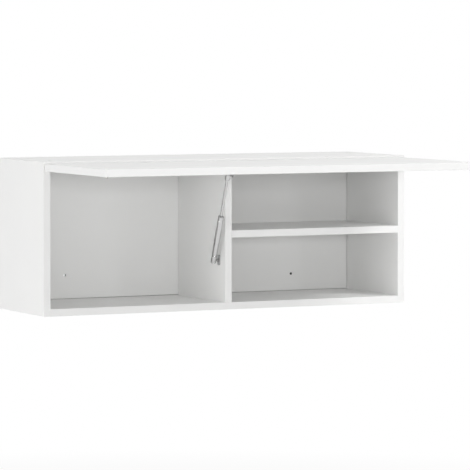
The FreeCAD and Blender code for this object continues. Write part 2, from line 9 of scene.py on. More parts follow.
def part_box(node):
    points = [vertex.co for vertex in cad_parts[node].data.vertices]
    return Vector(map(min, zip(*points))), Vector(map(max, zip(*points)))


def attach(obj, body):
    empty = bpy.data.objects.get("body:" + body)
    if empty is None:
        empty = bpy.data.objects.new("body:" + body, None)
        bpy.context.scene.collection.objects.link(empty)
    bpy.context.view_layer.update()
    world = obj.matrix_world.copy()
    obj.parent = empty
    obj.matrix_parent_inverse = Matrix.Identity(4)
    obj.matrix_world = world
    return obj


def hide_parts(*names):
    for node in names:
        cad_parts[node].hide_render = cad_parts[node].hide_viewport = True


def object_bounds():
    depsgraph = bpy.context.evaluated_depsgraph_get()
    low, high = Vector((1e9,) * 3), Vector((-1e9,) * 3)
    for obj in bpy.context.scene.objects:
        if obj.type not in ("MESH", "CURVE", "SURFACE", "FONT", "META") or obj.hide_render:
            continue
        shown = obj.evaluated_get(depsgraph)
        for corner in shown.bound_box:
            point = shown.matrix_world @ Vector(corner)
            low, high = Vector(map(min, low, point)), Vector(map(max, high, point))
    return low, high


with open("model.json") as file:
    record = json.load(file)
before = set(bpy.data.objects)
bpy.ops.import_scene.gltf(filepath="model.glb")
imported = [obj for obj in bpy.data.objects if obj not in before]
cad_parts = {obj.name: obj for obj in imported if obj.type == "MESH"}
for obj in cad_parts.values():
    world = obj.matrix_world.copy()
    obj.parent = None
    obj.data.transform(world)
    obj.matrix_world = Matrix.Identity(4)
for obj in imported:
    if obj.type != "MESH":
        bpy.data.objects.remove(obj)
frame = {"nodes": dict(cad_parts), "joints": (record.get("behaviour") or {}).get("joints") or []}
cad_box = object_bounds()

bl_info = {
    "name": "Wall cabinet with a lift-up flap",
    "version": (1, 0, 0),
    "blender": (4, 5, 0),
    "location": "View3D > Sidebar > Cabinet",
    "description": "Dresses the packed cabinet with its finishes, screws, spring clips and studio",
    "category": "Object",
}


def linear(code):
    """Red, green and blue as Blender's shaders take them, from an sRGB hex code."""
    shares = [int(code[start:start + 2], 16) / 255 for start in (0, 2, 4)]
    return tuple(share / 12.92 if share <= 0.04045 else ((share + 0.055) / 1.055) ** 2.4 for share in shares)


# Lengths are in metres, and these bring sizes given in millimetres and angles in degrees to Blender's units
mm = 0.001
degree = math.pi / 180

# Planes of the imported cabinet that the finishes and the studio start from
wall_plane = cad_box[1].y
back_face, back_rear = (corner.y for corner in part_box("back_panel"))
underside = cad_box[0].z

# What lies this near to a plane or a round wall counts as on it
skin = 0.2 * mm

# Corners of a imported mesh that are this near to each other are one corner
weld = 0.002 * mm

# Shapes of the small fittings
crease = 35 * degree
head_sides = 40
shank_sides = 24
recess_share = 0.62
recess_seed = 7
pan_crown_share = 0.8
clip_gap = 80 * degree
clip_steps = 48
wire_sides = 12
groove_rings = 12

# Roughness of the finishes between their smoothest and their roughest spots, as a Map Range node takes it
melamine_roughness = {"To Min": 0.38, "To Max": 0.85}
edging_roughness = {"To Min": 0.28, "To Max": 0.42}
lacquer_roughness = {"To Min": 0.5, "To Max": 0.9}
cap_roughness = {"To Min": 0.34, "To Max": 0.5}
polyamide_roughness = {"To Min": 0.42, "To Max": 0.58}
plug_roughness = {"To Min": 0.47, "To Max": 0.63}
cam_roughness = {"To Min": 0.35, "To Max": 0.55}
hinge_plate_roughness = {"To Min": 0.3, "To Max": 0.5}
fitting_roughness = {"To Min": 0.04, "To Max": 0.24}
plating_roughness = {"To Min": 0.24, "To Max": 0.42}
nickel_roughness = {"To Min": 0.19, "To Max": 0.29}
strut_roughness = {"To Min": 0.05, "To Max": 0.15}
stop_roughness = {"To Min": 0.2, "To Max": 0.35}
beech_roughness = 0.7
floor_roughness = 0.9

# Relief of the finishes, as a Bump node takes it
melamine_relief = {"Strength": 0.12, "Distance": 0.2 * mm}
edging_relief = {"Strength": 0.1, "Distance": 0.1 * mm}
fibre_relief = {"Strength": 0.15, "Distance": 0.2 * mm}
moulded_relief = {"Strength": 0.2, "Distance": 0.1 * mm}
beech_relief = {"Strength": 0.3, "Distance": 0.2 * mm}
cast_relief = {"Strength": 0.15, "Distance": 0.1 * mm}

# Patterns that are drawn out along one axis: the dowels' grain, and the lines on the hinges and on the strut
dowel_stretch = (0.1, 1, 1)
hinge_stretch = (1, 0.05, 1)
strut_stretch = (1, 1, 0.1)

# A black edge tint darkens the strut's bright metal at a glancing look: painted shade, a dark line drawn
# along its round edges
painted_edge_shade = linear("000000")

# The soft stops let this share of the light through, and bend it as polyurethane does
stop_clear_share = 0.7
stop_ior = 1.5

# The studio's soft boxes: where each stands and how wide it is
soft_boxes = {
    "left": ((-3.5, -0.8, 0.3), 2.0),
    "lower_left": ((-2.5, -3.5, -0.3), 1.5),
    "front_left": ((-3.0, -7.5, 0.45), 0.8),
    "front_right": ((4.0, -7.0, 0.45), 0.8),
    "upper_right": ((2.0, -2.5, 2.5), 1.2),
    "top": ((0.0, -0.5, 3.0), 2.0),
    "right_card": ((1.05, -1.25, -0.4), 0.6),
}

# The studio's floor reaches this far to every side
floor_half = 40.0

# The floor's own light and shade show to the camera near the cabinet, and fade to plain white farther off
floor_glow_share = 0.7
floor_fade = (0.8, 2.5)

# Sockets of the Mix node when it mixes colours, and of the Random Value node when it gives a number
mix_share, mix_first, mix_second, mix_result = 0, 6, 7, 2
random_number = 1


def colour(name, description, code):
    """A colour that the sidebar shows."""
    return bpy.props.FloatVectorProperty(name=name, description=description, subtype="COLOR", size=3,
                                         min=0, max=1, default=linear(code))


def length(name, description, millimetres):
    """A length that the sidebar shows."""
    return bpy.props.FloatProperty(name=name, description=description, unit="LENGTH", precision=5,
                                   min=0, default=millimetres * mm)


def power(name, description, watts):
    """A lamp's power that the sidebar shows."""
    return bpy.props.FloatProperty(name=name, description=description, unit="POWER", min=0, default=watts)


class CabinetColours(bpy.types.PropertyGroup):
    """Colours of the cabinet's finishes"""

    melamine: colour("Melamine", "Pressed skin of the boards", "F4F4F3")
    melamine_shade: colour("Melamine shade", "Slightly greyer patches of that skin", "F1F1F0")
    chip: colour("Wood chip", "Light chips on a bare board edge", "C9A876")
    chip_dark: colour("Dark chip", "Dark chips and glue on a bare board edge", "8A6A42")
    edging: colour("Edging", "Plastic edging of the boards", "F1F1F0")
    primer: colour("Primer", "Sawn edges and holes of the back panel", "BEBEBC")
    fibre: colour("Fibreboard", "Bare rear of the back panel", "9B7850")
    fibre_dark: colour("Dark fibre", "Darker fibres of the back panel", "755636")
    cap: colour("Cover cap", "Moulded caps over the cam locks", "EFEFEC")
    beech: colour("Beech", "Dowels", "D8B48A")
    beech_dark: colour("Beech flecks", "Darker grain of the dowels", "B98E61")
    zinc: colour("Die-cast zinc", "Cam locks and hinge plates", "B4B6B8")
    nickel: colour("Nickel", "Plating of the hinges", "CFCBC4")
    plating: colour("Zinc plating", "Hanging angles, cam bolts and screws", "C5C7C9")
    plating_cloudy: colour("Cloudy plating", "Darker clouds in the zinc plating", "B6B9BC")
    # Painted shade: the strut's bracket plating is a darker copy of the zinc plating above, for the shade
    # round the strut's foot, and its clips share it
    bracket: colour("Strut bracket", "Zinc plating of the strut's brackets, studs and clips", "BABABA")
    shaded_bracket_cloudy: colour("Cloudy bracket", "Darker clouds in that plating", "ACACAC")
    tube: colour("Strut tube", "Bright drawn steel of the strut's cylinder", "CFCFCF")
    chrome: colour("Chrome", "Plating of the strut's rod", "D0D0D0")
    fitting: colour("Strut fitting", "Bright end fittings of the strut", "CECECE")
    # Black is the strut piston's own colour, and painted shade on the plug in the back panel's fixing hole
    black: colour("Black plastic", "Strut piston and the plug in the back panel", "0E0E0E")
    guide: colour("Strut guide", "Grey plastic guide in the mouth of the strut's cylinder", "AEAEAE")
    stop: colour("Soft stop", "Clear soft stops under the flap", "F0F0EA")
    floor: colour("Floor", "Studio floor", "F2F2F2")


class CabinetSizes(bpy.types.PropertyGroup):
    """Sizes of the patterns and of the small fittings"""

    # The pearl, the cast grain, the draw lines and the spark grain are finer in reality, and are drawn
    # coarse enough to show in the render
    pearl: length("Pearl", "Spacing of the melamine's pressed pearl", 2.5)
    patch: length("Patch", "Size of the melamine's greyer patches", 160)
    chip_size: length("Chip", "Length of a chip on a bare board edge", 3)
    fibre_size: length("Fibre", "Length of the fibres on the back panel's rear", 1.6)
    cast_grain: length("Cast grain", "Grain of die-cast metal", 0.9)
    plating_cloud: length("Plating cloud", "Size of the clouds in the zinc plating", 7)
    draw_line: length("Draw line", "Spacing of the lines on drawn and stamped metal", 0.7)
    spark: length("Spark grain", "Spark texture of moulded plastic", 0.8)
    grain: length("Grain", "Width of the beech grain", 0.9)
    recess_width: length("Recess width", "Width of the slots in a screw's cross recess", 0.9)
    recess_depth: length("Recess depth", "Depth of a screw's cross recess", 1.2)
    countersink: length("Countersink", "Height of a wood screw's flat head", 2)
    wood_shank: length("Wood screw shank", "Radius of a wood screw's shank", 1.75)
    pan_height: length("Pan height", "Height of an arm screw's head", 1.8)
    pan_shank: length("Arm screw shank", "Radius of an arm screw's shank", 2)
    groove_place: length("Groove place", "From the mouth of the strut's cylinder to its rolled groove", 10)
    groove_width: length("Groove width", "Width of that groove", 3)
    groove_depth: length("Groove depth", "Depth of that groove", 0.3)
    clip_wire: length("Clip wire", "Radius of the wire of a ball socket's spring clip", 0.5)
    clip_bite: length("Clip bite", "How far that wire lies in the socket's wall", 0.1)


class CabinetStudio(bpy.types.PropertyGroup):
    """Light, floor and camera"""

    floor_drop: length("Floor drop", "Distance from the cabinet down to the floor", 700)
    fill: bpy.props.FloatProperty(name="Fill", description="Strength of the even white light",
                                  min=0, default=0.41)
    left: power("Left", "Power of the soft box that lights the left side", 36.4)
    lower_left: power("Lower left", "Power of the soft box that looks in under the flap from the left", 5.4)
    front_left: power("Front left", "Power of the far soft box at the front left", 97)
    front_right: power("Front right", "Power of the far soft box at the front right", 16.2)
    upper_right: power("Upper right", "Power of the soft box above the front right", 63)
    top: power("Top", "Power of the soft box above", 4.5)
    right_card: power("Right card", "Power of the small card by the right bay", 0.3)
    camera_place: bpy.props.FloatVectorProperty(name="Camera", description="Where the camera stands",
                                                subtype="XYZ", unit="LENGTH", size=3,
                                                default=(-3.6296, -7.7257, 0.3183))
    camera_turn: bpy.props.FloatProperty(name="Turn", description="Turn to the right of straight ahead",
                                         unit="ROTATION", default=0.457)
    camera_tilt: bpy.props.FloatProperty(name="Tilt", description="Tilt below level",
                                         unit="ROTATION", default=3.465 * degree)
    lens: bpy.props.FloatProperty(name="Lens", description="Focal length in millimetres",
                                  min=1, default=254.1)


def node(tree, kind, inputs=None, **settings):
    """Adds a node with its settings, and fills or links its inputs."""
    made = tree.nodes.new(kind)
    for name, value in settings.items():
        setattr(made, name, value)
    for key, value in (inputs or {}).items():
        if isinstance(value, bpy.types.NodeSocket):
            tree.links.new(value, made.inputs[key])
        else:
            made.inputs[key].default_value = value
    return made


def start_material(name):
    """A new material with its tree, its shader and the Object coordinates that its patterns read."""
    material = bpy.data.materials.new(name)
    material.use_nodes = True
    tree = material.node_tree
    shader = tree.nodes["Principled BSDF"]
    place = node(tree, "ShaderNodeTexCoord").outputs["Object"]
    return material, tree, shader, place


def rgba(shade):
    """A colour with full cover, for a node's colour socket."""
    return (*shade, 1)


def white_melamine(colours, sizes):
    """Melamine-faced chipboard."""
    # Pressed between satin plates: an even white skin, faintly pearled, with bare chips on the rear edge
    material, tree, shader, place = start_material("white_melamine")
    patches = node(tree, "ShaderNodeTexNoise", {"Vector": place, "Scale": 1 / sizes.patch, "Detail": 1})
    face = node(tree, "ShaderNodeMix", {mix_share: patches.outputs["Fac"], mix_first: rgba(colours.melamine),
                                        mix_second: rgba(colours.melamine_shade)}, data_type="RGBA")
    chips = node(tree, "ShaderNodeTexVoronoi", {"Vector": place, "Scale": 1 / sizes.chip_size})
    sawn = node(tree, "ShaderNodeMix", {mix_share: chips.outputs["Color"], mix_first: rgba(colours.chip),
                                        mix_second: rgba(colours.chip_dark)}, data_type="RGBA")
    depth = node(tree, "ShaderNodeSeparateXYZ", {"Vector": place}).outputs["Y"]
    rear = node(tree, "ShaderNodeMath", {0: depth, 1: wall_plane - skin}, operation="GREATER_THAN")
    shade = node(tree, "ShaderNodeMix", {mix_share: rear.outputs["Value"],
                                         mix_first: face.outputs[mix_result],
                                         mix_second: sawn.outputs[mix_result]}, data_type="RGBA")
    tree.links.new(shade.outputs[mix_result], shader.inputs["Base Color"])
    rough = node(tree, "ShaderNodeMapRange", {"Value": rear.outputs["Value"], **melamine_roughness})
    tree.links.new(rough.outputs["Result"], shader.inputs["Roughness"])
    pearl = node(tree, "ShaderNodeTexNoise", {"Vector": place, "Scale": 1 / sizes.pearl, "Detail": 2})
    bump = node(tree, "ShaderNodeBump", {"Height": pearl.outputs["Fac"], **melamine_relief})
    tree.links.new(bump.outputs["Normal"], shader.inputs["Normal"])
    return material


def white_edging(colours, sizes):
    """ABS edging."""
    # Extruded plastic strip: a fine texture, and a little smoother to the eye than the faces
    material, tree, shader, place = start_material("white_abs_edging")
    shader.inputs["Base Color"].default_value = rgba(colours.edging)
    spark = node(tree, "ShaderNodeTexNoise", {"Vector": place, "Scale": 1 / sizes.spark, "Detail": 1})
    rough = node(tree, "ShaderNodeMapRange", {"Value": spark.outputs["Fac"], **edging_roughness})
    tree.links.new(rough.outputs["Result"], shader.inputs["Roughness"])
    bump = node(tree, "ShaderNodeBump", {"Height": spark.outputs["Fac"], **edging_relief})
    tree.links.new(bump.outputs["Normal"], shader.inputs["Normal"])
    return material


def lacquered_fibreboard(colours, sizes):
    """High-density fibreboard, lacquered on the room side."""
    # White lacquer in front, pale grey primer on the edges and in the holes, matt brown fibres on the rear
    material, tree, shader, place = start_material("lacquered_fibreboard")
    fibres = node(tree, "ShaderNodeTexNoise", {"Vector": place, "Scale": 1 / sizes.fibre_size, "Detail": 5})
    bare = node(tree, "ShaderNodeMix", {mix_share: fibres.outputs["Fac"], mix_first: rgba(colours.fibre),
                                        mix_second: rgba(colours.fibre_dark)}, data_type="RGBA")
    patches = node(tree, "ShaderNodeTexNoise", {"Vector": place, "Scale": 1 / sizes.patch, "Detail": 1})
    lacquer = node(tree, "ShaderNodeMix", {mix_share: patches.outputs["Fac"],
                                           mix_first: rgba(colours.melamine),
                                           mix_second: rgba(colours.melamine_shade)}, data_type="RGBA")
    depth = node(tree, "ShaderNodeSeparateXYZ", {"Vector": place}).outputs["Y"]
    core = node(tree, "ShaderNodeMath", {0: depth, 1: back_face + skin}, operation="GREATER_THAN")
    rear = node(tree, "ShaderNodeMath", {0: depth, 1: back_rear - skin}, operation="GREATER_THAN")
    front = node(tree, "ShaderNodeMix", {mix_share: core.outputs["Value"],
                                         mix_first: lacquer.outputs[mix_result],
                                         mix_second: rgba(colours.primer)}, data_type="RGBA")
    shade = node(tree, "ShaderNodeMix", {mix_share: rear.outputs["Value"],
                                         mix_first: front.outputs[mix_result],
                                         mix_second: bare.outputs[mix_result]}, data_type="RGBA")
    tree.links.new(shade.outputs[mix_result], shader.inputs["Base Color"])
    rough = node(tree, "ShaderNodeMapRange", {"Value": core.outputs["Value"], **lacquer_roughness})
    tree.links.new(rough.outputs["Result"], shader.inputs["Roughness"])
    bump = node(tree, "ShaderNodeBump", {"Height": fibres.outputs["Fac"], **fibre_relief})
    tree.links.new(bump.outputs["Normal"], shader.inputs["Normal"])
    return material


def moulded(name, shade, sizes, roughness):
    """Injection-moulded plastic."""
    # The mould was eroded by sparks, which leaves a soft sheen broken up by a fine grain
    material, tree, shader, place = start_material(name)
    shader.inputs["Base Color"].default_value = rgba(shade)
    spark = node(tree, "ShaderNodeTexNoise", {"Vector": place, "Scale": 1 / sizes.spark, "Detail": 2})
    rough = node(tree, "ShaderNodeMapRange", {"Value": spark.outputs["Fac"], **roughness})
    tree.links.new(rough.outputs["Result"], shader.inputs["Roughness"])
    bump = node(tree, "ShaderNodeBump", {"Height": spark.outputs["Fac"], **moulded_relief})
    tree.links.new(bump.outputs["Normal"], shader.inputs["Normal"])
    return material


def beech(colours, sizes):
    """Fluted beech dowel."""
    # Pale close-grained wood with darker flecks along the dowel
    material, tree, shader, place = start_material("beech")
    along = node(tree, "ShaderNodeMapping", {"Vector": place, "Scale": dowel_stretch}).outputs["Vector"]
    flecks = node(tree, "ShaderNodeTexNoise", {"Vector": along, "Scale": 1 / sizes.grain, "Detail": 4})
    shade = node(tree, "ShaderNodeMix", {mix_share: flecks.outputs["Fac"], mix_first: rgba(colours.beech),
                                         mix_second: rgba(colours.beech_dark)}, data_type="RGBA")
    tree.links.new(shade.outputs[mix_result], shader.inputs["Base Color"])
    shader.inputs["Roughness"].default_value = beech_roughness
    bump = node(tree, "ShaderNodeBump", {"Height": flecks.outputs["Fac"], **beech_relief})
    tree.links.new(bump.outputs["Normal"], shader.inputs["Normal"])
    return material


def cast_metal(name, shade, sizes, roughness):
    """Die-cast zinc alloy."""
    # Left as it comes out of the die: grey metal whose mirror image is broken up by a fine cast grain
    material, tree, shader, place = start_material(name)
    shader.inputs["Base Color"].default_value = rgba(shade)
    shader.inputs["Metallic"].default_value = 1
    grain = node(tree, "ShaderNodeTexNoise", {"Vector": place, "Scale": 1 / sizes.cast_grain, "Detail": 3})
    rough = node(tree, "ShaderNodeMapRange", {"Value": grain.outputs["Fac"], **roughness})
    tree.links.new(rough.outputs["Result"], shader.inputs["Roughness"])
    bump = node(tree, "ShaderNodeBump", {"Height": grain.outputs["Fac"], **cast_relief})
    tree.links.new(bump.outputs["Normal"], shader.inputs["Normal"])
    return material


def plated_steel(name, shade, cloudy, sizes):
    """Zinc-plated steel."""
    # Clear passivated plating: grey metal, faintly clouded
    material, tree, shader, place = start_material(name)
    shader.inputs["Metallic"].default_value = 1
    clouds = node(tree, "ShaderNodeTexNoise", {"Vector": place, "Scale": 1 / sizes.plating_cloud,
                                               "Detail": 3})
    clouded = node(tree, "ShaderNodeMix", {mix_share: clouds.outputs["Fac"], mix_first: rgba(shade),
                                           mix_second: rgba(cloudy)}, data_type="RGBA")
    tree.links.new(clouded.outputs[mix_result], shader.inputs["Base Color"])
    rough = node(tree, "ShaderNodeMapRange", {"Value": clouds.outputs["Fac"], **plating_roughness})
    tree.links.new(rough.outputs["Result"], shader.inputs["Roughness"])
    return material


def drawn_metal(name, shade, sizes, roughness, stretch):
    """Bright metal that was drawn, stamped or ground."""
    # The tools leave fine lines, so the mirror image is sharper in some streaks than in others
    material, tree, shader, place = start_material(name)
    shader.inputs["Base Color"].default_value = rgba(shade)
    shader.inputs["Metallic"].default_value = 1
    along = node(tree, "ShaderNodeMapping", {"Vector": place, "Scale": stretch}).outputs["Vector"]
    lines = node(tree, "ShaderNodeTexNoise", {"Vector": along, "Scale": 1 / sizes.draw_line, "Detail": 2})
    rough = node(tree, "ShaderNodeMapRange", {"Value": lines.outputs["Fac"], **roughness})
    tree.links.new(rough.outputs["Result"], shader.inputs["Roughness"])
    return material


def soft_polyurethane(colours, sizes):
    """Clear soft stop."""
    # Cast clear polyurethane, faintly milky
    material, tree, shader, place = start_material("soft_polyurethane")
    shader.inputs["Base Color"].default_value = rgba(colours.stop)
    shader.inputs["Transmission Weight"].default_value = stop_clear_share
    shader.inputs["IOR"].default_value = stop_ior
    haze = node(tree, "ShaderNodeTexNoise", {"Vector": place, "Scale": 1 / sizes.spark, "Detail": 1})
    rough = node(tree, "ShaderNodeMapRange", {"Value": haze.outputs["Fac"], **stop_roughness})
    tree.links.new(rough.outputs["Result"], shader.inputs["Roughness"])
    return material


def dress(names, material):
    """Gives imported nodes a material."""
    for name in names:
        frame["nodes"][name].material_slots[0].material = material


def solids_of(name):
    """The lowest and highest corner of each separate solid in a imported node, in the order of its mesh."""
    work = bmesh.new()
    work.from_mesh(frame["nodes"][name].data)
    bmesh.ops.remove_doubles(work, verts=work.verts, dist=weld)
    left = set(work.verts)
    boxes = []
    for start in work.verts:
        if start not in left:
            continue
        left.remove(start)
        reached = [start]
        for vert in reached:
            near = {edge.other_vert(vert) for edge in vert.link_edges} & left
            left -= near
            reached.extend(near)
        spans = list(zip(*(vert.co for vert in reached)))
        boxes.append((Vector(map(min, spans)), Vector(map(max, spans))))
    work.free()
    return boxes


def start_tree(name, inputs):
    """A Geometry Nodes tree that takes points and named inputs, with its input and output sockets."""
    tree = bpy.data.node_groups.new(name, "GeometryNodeTree")
    tree.interface.new_socket("Geometry", in_out="INPUT", socket_type="NodeSocketGeometry")
    tree.interface.new_socket("Geometry", in_out="OUTPUT", socket_type="NodeSocketGeometry")
    for label, kind in inputs.items():
        tree.interface.new_socket(label, in_out="INPUT", socket_type=kind)
    return tree, node(tree, "NodeGroupInput").outputs, node(tree, "NodeGroupOutput").inputs


def set_on_points(tree, taken, given, shape, turn):
    """Ends a tree: the shape stands on every point along its facing, realised and given its finish."""
    facing = node(tree, "GeometryNodeInputNamedAttribute", {"Name": "facing"}, data_type="FLOAT_VECTOR")
    upright = node(tree, "FunctionNodeAlignRotationToVector", {"Vector": facing.outputs["Attribute"]},
                   axis="Z")
    copies = node(tree, "GeometryNodeInstanceOnPoints", {"Points": taken["Geometry"], "Instance": shape,
                                                         "Rotation": upright.outputs["Rotation"]})
    turned = node(tree, "GeometryNodeRotateInstances", {"Instances": copies.outputs["Instances"],
                                                        "Rotation": turn})
    solid = node(tree, "GeometryNodeRealizeInstances", {"Geometry": turned.outputs["Instances"]})
    finished = node(tree, "GeometryNodeSetMaterial", {"Geometry": solid.outputs["Geometry"],
                                                      "Material": taken["Finish"]})
    tree.links.new(finished.outputs["Geometry"], given["Geometry"])


def screw_tree():
    """A screw with a cross recess, whose outer face lies on its point and looks along the point's facing."""
    lengths = ("Head radius", "Seat radius", "Head height", "Shank radius", "Tip", "Length", "Recess reach",
               "Recess width", "Recess depth")
    inputs = {label: "NodeSocketFloat" for label in lengths}
    tree, taken, given = start_tree("cross_headed_screws", inputs | {"Finish": "NodeSocketMaterial"})

    def below(depth):
        """A point on the screw's line, this far under its face."""
        down = node(tree, "ShaderNodeMath", {0: depth, 1: -1}, operation="MULTIPLY").outputs["Value"]
        return node(tree, "ShaderNodeCombineXYZ", {"Z": down}).outputs["Vector"]

    head = node(tree, "GeometryNodeMeshCone", {"Vertices": head_sides, "Radius Top": taken["Head radius"],
                                               "Radius Bottom": taken["Seat radius"],
                                               "Depth": taken["Head height"]})
    head = node(tree, "GeometryNodeTransform", {"Geometry": head.outputs["Mesh"],
                                                "Translation": below(taken["Head height"])})
    slot = node(tree, "ShaderNodeCombineXYZ", {"X": taken["Recess reach"], "Y": taken["Recess width"],
                                               "Z": taken["Recess depth"]})
    bar = node(tree, "GeometryNodeMeshCube", {"Size": slot.outputs["Vector"]})
    cross_bar = node(tree, "GeometryNodeTransform", {"Geometry": bar.outputs["Mesh"],
                                                     "Rotation": (0, 0, math.pi / 2)})
    head = node(tree, "GeometryNodeMeshBoolean", {"Mesh 1": head.outputs["Geometry"],
                                                  "Mesh 2": bar.outputs["Mesh"]}, operation="DIFFERENCE")
    head = node(tree, "GeometryNodeMeshBoolean", {"Mesh 1": head.outputs["Mesh"],
                                                  "Mesh 2": cross_bar.outputs["Geometry"]},
                operation="DIFFERENCE")
    point = node(tree, "GeometryNodeMeshCone", {"Vertices": shank_sides, "Radius Top": taken["Shank radius"],
                                                "Radius Bottom": 0, "Depth": taken["Tip"]})
    point = node(tree, "GeometryNodeTransform", {"Geometry": point.outputs["Mesh"],
                                                 "Translation": below(taken["Length"])})
    screw = node(tree, "GeometryNodeJoinGeometry", {"Geometry": head.outputs["Mesh"]})
    tree.links.new(point.outputs["Geometry"], screw.inputs["Geometry"])
    chance = node(tree, "FunctionNodeRandomValue", {"Seed": recess_seed}).outputs[random_number]
    swing = node(tree, "ShaderNodeMath", {0: chance, 1: math.tau}, operation="MULTIPLY").outputs["Value"]
    turn = node(tree, "ShaderNodeCombineXYZ", {"Z": swing}).outputs["Vector"]
    set_on_points(tree, taken, given, screw.outputs["Geometry"], turn)
    return tree


def clip_tree():
    """An open ring of spring wire about its point, square to the point's facing and open on the right."""
    inputs = {"Ring radius": "NodeSocketFloat", "Wire radius": "NodeSocketFloat", "Gap": "NodeSocketFloat"}
    tree, taken, given = start_tree("spring_clips", inputs | {"Finish": "NodeSocketMaterial"})
    sweep = node(tree, "ShaderNodeMath", {0: math.tau, 1: taken["Gap"]}, operation="SUBTRACT")
    start = node(tree, "ShaderNodeMath", {0: taken["Gap"], 1: 2}, operation="DIVIDE")
    ring = node(tree, "GeometryNodeCurveArc", {"Resolution": clip_steps, "Radius": taken["Ring radius"],
                                               "Start Angle": start.outputs["Value"],
                                               "Sweep Angle": sweep.outputs["Value"]})
    wire = node(tree, "GeometryNodeCurvePrimitiveCircle", {"Resolution": wire_sides,
                                                           "Radius": taken["Wire radius"]})
    clip = node(tree, "GeometryNodeCurveToMesh", {"Curve": ring.outputs["Curve"],
                                                  "Profile Curve": wire.outputs["Curve"], "Fill Caps": True})
    set_on_points(tree, taken, given, clip.outputs["Mesh"], (0, 0, 0))
    return tree


def set_piece(piece, body):
    """Shades a made piece smooth between its creases, and gives it its body."""
    for face in piece.data.polygons:
        face.use_smooth = True
    piece.data.set_sharp_from_angle(angle=crease)
    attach(piece, body)


def grown_piece(name, tree, spots, inputs, body):
    """A plain mesh piece that a tree grows on some spots, each a place with its facing."""
    mesh = bpy.data.meshes.new(name)
    mesh.from_pydata([place for place, facing in spots], [], [])
    facings = mesh.attributes.new("facing", "FLOAT_VECTOR", "POINT")
    for entry, (place, facing) in zip(facings.data, spots):
        entry.vector = facing
    piece = bpy.data.objects.new(name, mesh)
    bpy.context.scene.collection.objects.link(piece)
    modifier = piece.modifiers.new(name, "NODES")
    modifier.node_group = tree
    for item in tree.interface.items_tree:
        if item.name in inputs:
            modifier[item.identifier] = inputs[item.name]
    grown = piece.evaluated_get(bpy.context.evaluated_depsgraph_get())
    piece.data = bpy.data.meshes.new_from_object(grown)
    piece.modifiers.clear()
    set_piece(piece, body)
    return piece


def strut_ends():
    """The middles of the strut's lower and upper ball seats."""
    pivots = {joint["name"]: joint.get("pos_m") for joint in frame["joints"]}
    head = Vector(pivots["strut_head_pivot"])
    low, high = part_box("strut_foot_stud")
    foot = Vector((head.x, (low.y + high.y) / 2, (low.z + high.z) / 2))
    return foot, head


def rolled_tube(sizes):
    """The strut's cylinder with the groove that is rolled into its wall to hold the guide."""
    foot, head = strut_ends()
    along = (head - foot).normalized()
    low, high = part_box("strut_tube")
    radius = (high.x - low.x) / 2
    work = bmesh.new()
    work.from_mesh(frame["nodes"]["strut_tube"].data)
    bmesh.ops.remove_doubles(work, verts=work.verts, dist=weld)
    middle = max(vert.co.dot(along) for vert in work.verts) - sizes.groove_place
    for ring in range(groove_rings + 1):
        reach = middle + sizes.groove_width * (ring / groove_rings - 0.5)
        parts = [*work.verts, *work.edges, *work.faces]
        bmesh.ops.bisect_plane(work, geom=parts, plane_co=along * reach, plane_no=along)
    for vert in work.verts:
        turn = (vert.co.dot(along) - middle) / sizes.groove_width * math.tau
        out = (vert.co - foot) - along * (vert.co - foot).dot(along)
        if abs(turn) < math.pi and out.length > radius - skin:
            vert.co -= out.normalized() * sizes.groove_depth * (1 + math.cos(turn)) / 2
    mesh = bpy.data.meshes.new("rolled_strut_tube")
    work.to_mesh(mesh)
    work.free()
    piece = bpy.data.objects.new("rolled_strut_tube", mesh)
    bpy.context.scene.collection.objects.link(piece)
    set_piece(piece, "strut_tube")
    return piece


def head_spots(name, facing, mirrored):
    """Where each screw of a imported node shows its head, and the screws' length and head radius."""
    # In a mirrored set, the screws in the cabinet's left half face the other way
    axis = max(range(3), key=lambda i: abs(facing[i]))
    boxes = solids_of(name)
    spots = []
    for low, high in boxes:
        place = (low + high) / 2
        way = -facing if mirrored and place.x < 0 else facing
        place[axis] = high[axis] if way[axis] > 0 else low[axis]
        spots.append((place, way))
    low, high = boxes[0]
    size = high - low
    return spots, size[axis], size[(axis + 1) % 3] / 2


def shown_straight(tree):
    """Is one where the camera, a reflection or clear plastic looks straight at the background."""
    path = node(tree, "ShaderNodeLightPath").outputs
    seen = node(tree, "ShaderNodeMath", {0: path["Is Camera Ray"], 1: path["Is Glossy Ray"]},
                operation="MAXIMUM")
    seen = node(tree, "ShaderNodeMath", {0: seen.outputs["Value"], 1: path["Is Transmission Ray"]},
                operation="MAXIMUM")
    return seen.outputs["Value"]


def make_world(scene, studio):
    """Even white light, and a plain white background."""
    scene.world = bpy.data.worlds.new("white_studio")
    scene.world.use_nodes = True
    tree = scene.world.node_tree
    fill = tree.nodes["Background"]
    fill.inputs["Color"].default_value = rgba((1, 1, 1))
    fill.inputs["Strength"].default_value = studio.fill
    white = node(tree, "ShaderNodeBackground", {"Color": rgba((1, 1, 1)), "Strength": 1})
    mix = node(tree, "ShaderNodeMixShader", {0: shown_straight(tree), 1: fill.outputs["Background"],
                                             2: white.outputs["Background"]})
    tree.links.new(mix.outputs["Shader"], tree.nodes["World Output"].inputs["Surface"])


